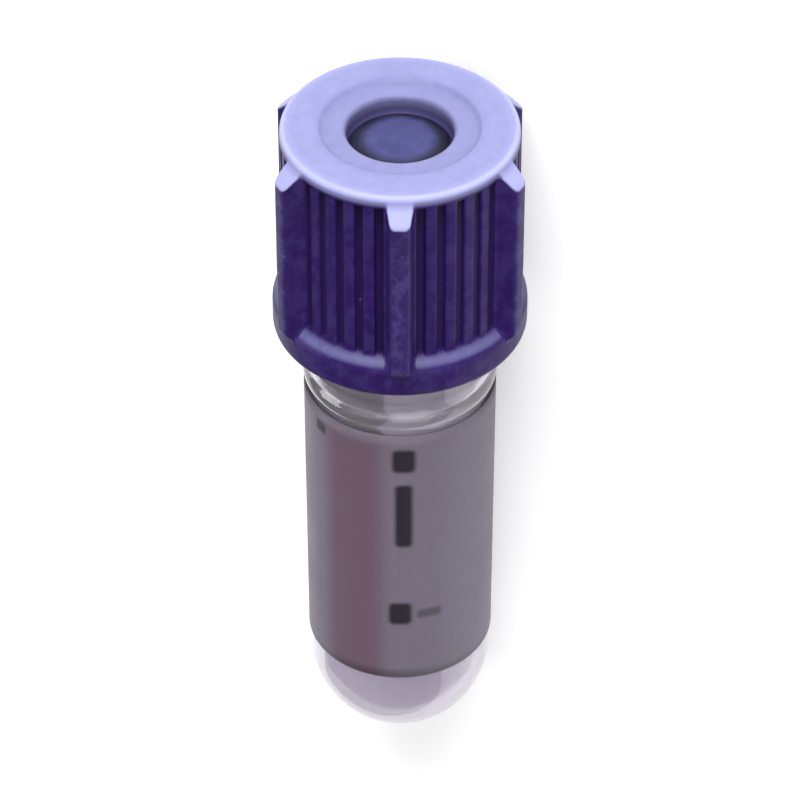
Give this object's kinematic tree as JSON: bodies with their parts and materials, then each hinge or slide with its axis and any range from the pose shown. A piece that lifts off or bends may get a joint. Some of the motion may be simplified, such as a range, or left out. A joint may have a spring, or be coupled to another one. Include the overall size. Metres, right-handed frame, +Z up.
{
  "type": "blood collection tube",
  "caption": "Small clear round-bottomed blood collection tube with a wrap-round label and a ribbed violet pull-off cap over a pierceable rubber stopper.",
  "frame": {"origin": "on the bench, under the middle of the outline of the tube lying on its side", "axes": "+X along the tube towards its cap, +Z up; the tube's own axis rises about 4 degrees towards the cap"},
  "size_m": [0.0444, 0.0154, 0.0149],
  "materials": {
    "clear_plastic": "clear, glossy, very slightly grey",
    "label_paper": "smooth coated paper",
    "stopper_rubber": "matt, fine talc bloom",
    "cap_plastic": "satin moulded plastic"
  },
  "bodies": {
    "tube_body": {"tube": "clear_plastic", "label": "label_paper"},
    "closure": {"cap": "cap_plastic", "stopper": "stopper_rubber"}
  },
  "joints": [
    {"name": "closure_pull", "type": "slide", "parent": "tube_body", "child": "closure", "axis": [0.9973, 0, 0.0731], "range_m": [0, 0.02]}
  ]
}
